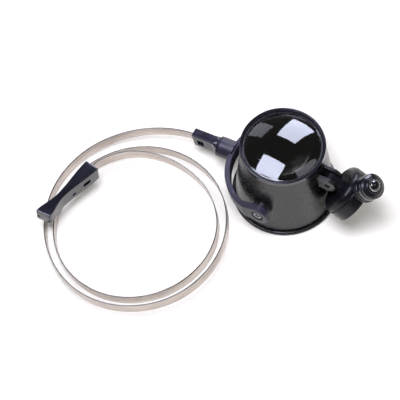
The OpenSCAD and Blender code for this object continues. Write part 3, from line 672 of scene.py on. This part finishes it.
ring = section(half_w, half_h, np.minimum(corner, np.minimum(half_w, half_h)), 10)
body_grid = np.stack([np.broadcast_to(-x[:, None], ring.shape[:2]), ring[..., 0], ring[..., 1]], -1)
connector = piece("connector_body", "band", "black_plastic",
                  placed(closed_ends(body_grid), on_band), node="band_connector")
window = block((-36.6, -4, -1.9), (-33.8, 4, 1.3), 0.25)
strip_slit = block((-39.5, -0.42, -2.45), (-32.5, 0.42, 2.45))
cut(connector, placed(window, on_band), placed(strip_slit, on_band))
finish(connector, connector_black)

# %% [markdown]
# ## Head band
# The band is one strip of spring steel, 4.7 mm wide and a little under half a millimetre
# thick, wound a little over two turns. Its route is a chain of circular arcs, each tangent
# to the next: a point on an arc is its centre plus the radius times the outward direction
# (-sin a, cos a). Near its free end the strip climbs out of the coil along a smooth ramp
# and bends into the pad.

# %% The route of the strip
ARCS = np.array([(42.2, 50), (36.4, 50), (39.1, 60), (34.7, 60), (33, 80), (34.6, 80), (31.4, 80),
                 (32.4, 80), (31.1, 80), (27, 80), (35.9, 40), (25.6, 32), (12, 24)])
STRIP_W, STRIP_T, STRIP_START, STRIP_IN, PAD_HOLD = 4.7, 0.43, 36.15, 32.7, 7.8
LIFT, LIFT_FROM, LIFT_TO = 6.6, 655, 748


def ease(t):
    """A smooth step from 0 to 1: t^2 (3 - 2t), with t held between 0 and 1."""
    t = np.clip(t, 0, 1)
    return t * t * (3 - 2 * t)


def out_dir(degrees):
    """The outward direction (-sin a, cos a) at an angle along the route."""
    return np.stack([-np.sin(np.radians(degrees)), np.cos(np.radians(degrees))], -1)


radii, starts = ARCS[:, 0], np.concatenate([[0], np.cumsum(ARCS[:, 1])])
steps = (radii[:-1] - radii[1:])[:, None] * out_dir(starts[1:-1])
centres = np.array([-STRIP_START, -radii[0]]) + np.vstack([[0, 0], np.cumsum(steps, 0)])
angle = np.linspace(0, starts[-1], 900)
arc = np.clip(np.searchsorted(starts, angle, "right") - 1, 0, len(radii) - 1)
coil = centres[arc] + radii[arc][:, None] * out_dir(angle)
height = LIFT * ease((angle - LIFT_FROM) / (LIFT_TO - LIFT_FROM))

lead = np.stack([-np.linspace(STRIP_IN, STRIP_START - 0.5, 6), np.zeros(6)], -1)
ahead = -out_dir(starts[-1] - 90)
tail = coil[-1] + np.linspace(1, PAD_HOLD, 8)[:, None] * ahead
route = np.vstack([lead, coil, tail])
turn = np.concatenate([np.zeros(6), angle, np.full(8, starts[-1])])
level_z = np.concatenate([np.zeros(6), height, np.full(8, LIFT)])
paces = np.linalg.norm(np.diff(np.c_[route, level_z], axis=0), axis=1)
length = np.concatenate([[0], np.cumsum(paces)])
print("strip", round(length[-1], 1), "mm long,", round(starts[-1] / 360, 2), "turns")

# %% Head band
n = len(route)
ring = section(np.full(n, STRIP_T / 2), np.full(n, STRIP_W / 2), np.full(n, 0.12), 3)
flat_xy = route[:, None] + ring[..., :1] * out_dir(turn)[:, None]
grid = np.concatenate([flat_xy, (level_z[:, None] + ring[..., 1])[..., None]], -1)
uv = np.stack(np.broadcast_arrays(length[:, None] * MM, ring[0, :, 1][None] * MM), -1)
uv = np.concatenate([uv[:1], uv, uv[-1:]])
band = piece("head_band_strip", "band", "steel_band", placed(closed_ends(grid), on_band),
             node="head_band", uvs=[uv])
finish(band, band_steel)

# %% [markdown]
# ## End pad
# The pad on the free end is a small hourglass with a flat top and upright sides, and it
# stands level although the strip leans. Its half width follows a smooth step from the wide
# end to the waist and back out. A slit in its inner side shows where the strip is latched,
# with a small notch beside it, and the outer end has a small round hole.

# %% End pad
PAD_LEN, PAD_END, PAD_WAIST, WAIST_T = 27.0, 2.85, 1.3, 0.64
PAD_HALF_H, TIP_DROP, HEEL_DROP = 3.8, 0.9, 0.1
t = np.concatenate([[0.0, 0.004, 0.012, 0.03], np.linspace(0.06, 0.94, 44), [0.97, 0.988, 0.996, 1.0]])
shape = np.where(t < WAIST_T, 1 - ease(t / WAIST_T), ease((t - WAIST_T) / (1 - WAIST_T)))
edge_in = 0.3 * rounding(t * PAD_LEN, 0.45) + 0.4 * rounding((1 - t) * PAD_LEN, 0.6)
pad_w = PAD_WAIST + (PAD_END - PAD_WAIST) * shape - edge_in
tip, heel = np.clip(t - 0.45, 0, None) / 0.55, np.clip(0.35 - t, 0, None) / 0.35
pad_h = PAD_HALF_H - TIP_DROP * tip ** 1.6 - HEEL_DROP * heel ** 2 - 0.45 * edge_in
ring = section(pad_w, pad_h, np.full(len(t), 0.32), 5)
skew = (0.09 + 0.2 * t)[:, None]
grid = np.stack([t[:, None] * PAD_LEN - ring[..., 0] * skew, ring[..., 0], ring[..., 1]], -1)
heading = rotate(180 + starts[-1], "Z")
on_strip_end = on_band @ move(*coil[-1], LIFT) @ heading
on_pad = move(*on_strip_end[:3, 3]) @ heading
pad = piece("end_pad_body", "band", "pad_plastic", placed(closed_ends(grid), on_pad), node="end_pad")

# %% Latch, notch, hole and slit of the pad
CUT_HALF, LATCH_FLOOR, NOTCH_FLOOR = 2.7, 0.6, 0.95
latch = plate(soften([(4.0, -1.3), (7.5, -1.3), (7.5, 0.9), (4.0, 0.9)], 1.05), CUT_HALF, 0.05)
notch = plate(soften([(11.0, -1.8), (12.8, -1.8), (12.8, -0.6), (11.0, -0.6)], 0.5), CUT_HALF, 0.05)
end_hole = block((PAD_LEN - 3.2, -2.2, -1.0), (PAD_LEN + 3, -1.2, 0.0), 0.49)
pad_slit = block((-2, -0.32, -2.44), (8.04, 0.32, 2.44))
cut(pad, placed(latch, on_pad @ move(0, CUT_HALF + LATCH_FLOOR, 0)),
    placed(notch, on_pad @ move(0, CUT_HALF + NOTCH_FLOOR, 0)),
    placed(end_hole, on_pad), placed(pad_slit, on_strip_end))
finish(pad, pad_black)

# %% [markdown]
# ## Lamp
# The lamp hangs between the ears of the cup. A tongue, in one piece with the round cap of
# the battery drum, turns on a pin. The outer half of the drum carries a collar, a ringed
# barrel and a domed nose with a clear bulb. Cap and drum are turned about the drum's axis,
# and the barrel, nose and bulb about the beam.

# %% Drum cap and tongue
CAP_ROUND, CAP_TOP, DRUM_R = 2.6, 6.0, 9.7
shoulder = (DRUM_R - CAP_ROUND, CAP_TOP - CAP_ROUND) + arc_points(CAP_ROUND, 90, 0, 12)
CAP_INSIDE = [(DRUM_R, 3.15), (DRUM_R, 2.95), (9.45, 2.65), (8.65, 2.65), (8.65, 1.6), (8.15, 1.6),
              (8.15, 3.85), (8.25, 3.85), (8.25, 5.1), (0, 5.1)]
cap = turned(np.vstack([[(0, CAP_TOP)], shoulder, soften(CAP_INSIDE, 0.08, closed=False)]), 160)
TONGUE = [(0.2, 5.7), (0.2, 13.4), (5.0, 13.4), (5.0, 5.7)]
tongue = placed(plate(soften(TONGUE, [0.05, 2.35, 2.35, 0.05], steps=12), TONGUE_W / 2, 0.2),
                move(0, -TONGUE_OFF, 0))
arm = piece("lamp_arm_body", "lamp", "black_plastic", placed(cap, on_drum),
            placed(tongue, on_drum), node="lamp_arm")
finish(arm, lamp_black)

# %% Hinge pin
PIN = [(0, -1.5), (PIN_R, -1.5), (PIN_R, 3.5), (0, 3.5)]
pin = turned(soften(PIN, [0, 0.25, 0.25, 0], closed=False), 48)
hinge_pin = piece("lamp_hinge_pin_rod", "cup", "steel_pin", placed(pin, on_hinge @ rotate(90, "X")),
                  node="lamp_hinge_pin")
finish(hinge_pin, pin_steel)

# %% Switch slider
SLIDER_FROM, SLIDER_W, SLIDER_Z, SLIDER_R, SLIDER_POINTS = -35, 22, 4.8, 8.17, 67
SLIDER_HALF_W, SLIDER_HALF_H, RIB_DEPTH, RIBS = 1.57, 0.25, 0.05, 8
sweep = np.radians(np.linspace(SLIDER_FROM, SLIDER_FROM + SLIDER_W, SLIDER_POINTS))[:, None]
wave = RIB_DEPTH * (0.5 - 0.5 * np.cos(np.linspace(0, 2 * np.pi * RIBS, SLIDER_POINTS)))[:, None]
ring = section(*(np.full(SLIDER_POINTS, size) for size in (SLIDER_HALF_W, SLIDER_HALF_H, 0.1)), 3)
radius = SLIDER_R + ring[..., 0] - wave * (ring[..., 0] > 1.0)
grid = np.stack([radius * np.cos(sweep), radius * np.sin(sweep), ring[..., 1] + SLIDER_Z], -1)
slider = piece("switch_slider_ridge", "slider", "black_plastic", placed(closed_ends(grid), on_drum),
               node="switch_slider")
finish(slider, slider_highlight_grey)

# %% Battery drum and collar
DRUM = [(0, -2.6), (DRUM_R, -2.6), (DRUM_R, 2.3), (9.45, 2.6), (8.7, 2.6), (8.7, -1.7), (0, -1.7)]
drum = turned(soften(DRUM, [0, 0.6, 0.08, 0.05, 0.1, 0.2, 0], closed=False), 160)
BARREL_FROM, BARREL_TO, BARREL_R, GROOVE_R, BARREL_BORE = 11.65, 16.85, 4.8, 4.45, 3.4
COLLAR = [(1.8, 8.75), (2.6, 8.75), (2.6, 10.05), (5, 10.05), (5, BARREL_FROM),
          (4.05, BARREL_FROM), (4.05, 12.85), (1.8, 12.85)]
COLLAR_SOFT = [0.05, 0.05, 0.05, 0.25, 0.25, 0.03, 0.1, 0.05]
collar = turned(soften(COLLAR, COLLAR_SOFT), 112)
housing = piece("battery_drum", "housing", "black_plastic", placed(drum, on_drum),
                placed(collar, on_beam), node="battery_housing")
finish(housing, lamp_black)

# %% Ringed barrel
GROOVES_AT, GROOVE_W, SLOPE = (12.55, 15.25), 0.5, 0.05
one_groove = [(BARREL_R, 0), (GROOVE_R, SLOPE), (GROOVE_R, GROOVE_W - SLOPE), (BARREL_R, GROOVE_W)]
BARREL = [(BARREL_BORE, BARREL_FROM), (BARREL_R, BARREL_FROM),
          *[(groove_r, at + along_it) for at in GROOVES_AT for groove_r, along_it in one_groove],
          (BARREL_R, BARREL_TO), (BARREL_BORE, BARREL_TO)]
BARREL_SOFT = [0.05, 0.2, 0.3, 0.05, 0.05, 0.3, 0.3, 0.05, 0.05, 0.3, 0.35, 0.05]
lamp_barrel = piece("lamp_barrel_tube", "housing", "black_plastic",
                    placed(turned(soften(BARREL, BARREL_SOFT), 128), on_beam), node="lamp_barrel")
finish(lamp_barrel, nose_black)

# %% Nose and bulb
NOSE_BORE, NOSE_LIP = 2.33, 17.75
NOSE = [(NOSE_BORE, 16.3), (3.35, 16.3), (3.35, 16.86), (4.6, 16.86), (3.25, 17.5), (2.95, 17.5),
        (2.85, NOSE_LIP), (NOSE_BORE, NOSE_LIP)]
nose = turned(soften(NOSE, [0.05, 0.05, 0.05, 0.4, 0.25, 0.08, 0.2, 0.12], steps=6), 112)
lamp_nose = piece("lamp_nose_dome", "housing", "black_plastic", placed(nose, on_beam), node="lamp_nose")
finish(lamp_nose, nose_black)

BULB_FROM, BULB_TO, BULB_R, FLANGE_R = 12.95, 19.45, 2.3, 2.6
DOME_RISE = 0.62 * BULB_R
dome = (0, BULB_TO - DOME_RISE) + arc_points(1, 0, 90, 24) * (BULB_R, DOME_RISE)
FLANGE = [(0, BULB_FROM), (FLANGE_R - 0.05, BULB_FROM), (FLANGE_R, BULB_FROM + 0.05),
          (FLANGE_R, 13.75), (BULB_R, 13.8)]
bulb = piece("bulb_body", "housing", "bulb_resin",
             placed(turned(np.vstack([FLANGE, dome]), 96), on_beam), node="led")
finish(bulb, bulb_resin)

# %% [markdown]
# ## Floor, light and shadow
# The object lies on a white table. The floor is a matt surface, which takes the soft
# shadow, with a glow added only for rays from the camera and for reflected and refracted
# rays, so that the table reads as white there. The cup stands on its open end, and under it
# the floor is painted dark, with no glow: a disc of painted shade. A soft box overhead lights
# the object and throws its shadow. Two more, one high in front and one low behind, stand far
# off where the bright patches on the lens put them. They give only the sheen, so they belong
# to the world, and two weak cards give the two dim patches.

# %% Floor
FLOOR_HALF, BELOW, SHADE_DISC_EDGE, FAR_FADE = 6, 0.00002, (0.017, 0.019), (0.15, 0.7)
floor_mesh = bpy.data.meshes.new("floor")
floor_corners = [(x * FLOOR_HALF, y * FLOOR_HALF, 0) for x, y in ((-1, -1), (1, -1), (1, 1), (-1, 1))]
floor_mesh.from_pydata(floor_corners, [], [(0, 1, 2, 3)])
floor = bpy.data.objects.new("floor", floor_mesh)
bpy.context.scene.collection.objects.link(floor)
floor.location.z = -BELOW


def seen(tree):
    """1 for rays from the camera and for reflected and refracted rays, 0 for the light that
    falls on the object."""
    rays = tree.nodes.new("ShaderNodeLightPath").outputs
    direct = maths(tree, "ADD", rays["Is Camera Ray"], rays["Is Glossy Ray"], True)
    return maths(tree, "ADD", direct, rays["Is Transmission Ray"], True)


white, tree, shader = new_material("white table")
shader.inputs["Roughness"].default_value = 0.9
shader.inputs["Specular IOR Level"].default_value = 0.0
shader.inputs["Emission Color"].default_value = (1, 1, 1, 1)
distance = tree.nodes.new("ShaderNodeVectorMath")
distance.operation = "LENGTH"
tree.links.new(tree.nodes.new("ShaderNodeTexCoord").outputs["Object"], distance.inputs[0])
from_cup = distance.outputs["Value"]
# Painted shade under the cup: inside the disc the glow is left out and the floor's colour is dark.
outside = maths(tree, "MULTIPLY", spread(tree, from_cup, 0.0, 1.0, *SHADE_DISC_EDGE),
                spread(tree, from_cup, 0.12, 1.0, *FAR_FADE))
table = two_tone(tree, from_cup, (0.02, 0.02, 0.02), (0.965, 0.925, 0.855), *SHADE_DISC_EDGE)
tree.links.new(table, shader.inputs["Base Color"])
tree.links.new(maths(tree, "MULTIPLY", seen(tree), outside), shader.inputs["Emission Strength"])
finish(floor, white)
print("floor", 2 * FLOOR_HALF, "metres wide, its dark disc", round(2 * SHADE_DISC_EDGE[0] / MM), "mm")

# %% Far boxes
SOFT_EDGE = 0.008


def box_axes(towards, across):
    """The axes of a soft box: its width, its height and the direction it stands in."""
    away = np.array(towards) / np.linalg.norm(towards)
    side = np.array(across) - away * (away @ np.array(across))
    side /= np.linalg.norm(side)
    return side, np.cross(away, side), away


def far_box(tree, direction, towards, across, width, height, radiance):
    """A soft box painted on the world. A direction d falls in it where d.side / d.away and
    d.up / d.away are both less than half its size, with a narrow soft edge."""
    dots = []
    for axis in box_axes(towards, across):
        dot = tree.nodes.new("ShaderNodeVectorMath")
        dot.operation = "DOT_PRODUCT"
        tree.links.new(direction, dot.inputs[0])
        dot.inputs[1].default_value = axis
        dots.append(dot.outputs["Value"])
    light = maths(tree, "MULTIPLY", maths(tree, "GREATER_THAN", dots[2], 0.1), radiance)
    for dot, size in zip(dots, (width, height)):
        offset = maths(tree, "ABSOLUTE", maths(tree, "DIVIDE", dot, dots[2]), 0)
        inside = spread(tree, offset, 1, 0, size / 2 - SOFT_EDGE, size / 2 + SOFT_EDGE)
        light = maths(tree, "MULTIPLY", light, inside)
    return light


# %% World
ROOM, OVERHEAD, HORIZON = 0.28, 0.10, (0.02, 0.30)
world = bpy.data.worlds.new("studio")
bpy.context.scene.world = world
world.use_nodes = True
tree = world.node_tree
background = tree.nodes["Background"]
background.inputs["Color"].default_value = (1, 0.97, 0.93, 1)
rays = tree.nodes.new("ShaderNodeLightPath").outputs
direction = tree.nodes.new("ShaderNodeTexCoord").outputs["Generated"]
split = tree.nodes.new("ShaderNodeSeparateXYZ")
tree.links.new(direction, split.inputs[0])
mirrored = spread(tree, split.outputs["Z"], 1.0, OVERHEAD, *HORIZON)
sharp = maths(tree, "MAXIMUM", rays["Is Glossy Ray"], rays["Is Transmission Ray"])
straight = rays["Is Camera Ray"]
other = maths(tree, "SUBTRACT", 1.0, maths(tree, "MAXIMUM", straight, sharp))
clean = maths(tree, "ADD", straight, maths(tree, "MULTIPLY", sharp, mirrored), True)
strength = maths(tree, "ADD", clean, maths(tree, "MULTIPLY", other, ROOM))
tree.links.new(strength, background.inputs["Strength"])

boxes = maths(tree, "ADD",
              far_box(tree, direction, (-0.179, 0.756, 0.630), (0.967, 0, 0.255),
                      width=0.45, height=0.62, radiance=10.0),
              far_box(tree, direction, (-0.236, -0.216, 0.948), (0.973, -0.094, 0.206),
                      width=0.60, height=0.44, radiance=12.2))
sheen = tree.nodes.new("ShaderNodeBackground")
sheen.inputs["Color"].default_value = (0.76, 0.80, 1.0, 1)
reflected = maths(tree, "SUBTRACT", rays["Is Glossy Ray"], rays["Is Transmission Ray"], True)
tree.links.new(maths(tree, "MULTIPLY", boxes, reflected), sheen.inputs["Strength"])
both = tree.nodes.new("ShaderNodeAddShader")
tree.links.new(background.outputs[0], both.inputs[0])
tree.links.new(sheen.outputs[0], both.inputs[1])
tree.links.new(both.outputs[0], tree.nodes["World Output"].inputs["Surface"])
print("room", ROOM, "for matt surfaces,", OVERHEAD, "in mirrors that look straight up")


# %% Lamps
def soft_box(name, towards, across, width, height, power, shows=True):
    """An area lamp one metre away in a given direction, with its width along a given one."""
    lamp = bpy.data.lights.new(name, "AREA")
    lamp.shape, lamp.size, lamp.size_y, lamp.energy = "RECTANGLE", width, height, power
    lamp.color = (0.86, 0.88, 1.0)
    obj = bpy.data.objects.new(name, lamp)
    bpy.context.scene.collection.objects.link(obj)
    obj.visible_glossy = obj.visible_transmission = shows
    side, upright, away = box_axes(towards, across)
    obj.matrix_world = Matrix(axes_matrix(side, upright, away, away).tolist())
    print(name, "at", [round(v, 2) for v in obj.location])


soft_box("overhead box", (-0.03, -0.16, 0.99), (1, 0, 0), 0.46, 0.46, 10.8, shows=False)
soft_box("left card", (-0.72, 0.48, 0.47), (0.3, 0.75, -0.3), 0.34, 0.4, 0.55)
soft_box("right card", (0.47, 0.16, 0.83), (0.25, 0.75, -0.3), 0.6, 0.2, 0.55)

# %% View transform
scene = bpy.context.scene
scene.view_settings.view_transform = "Standard"
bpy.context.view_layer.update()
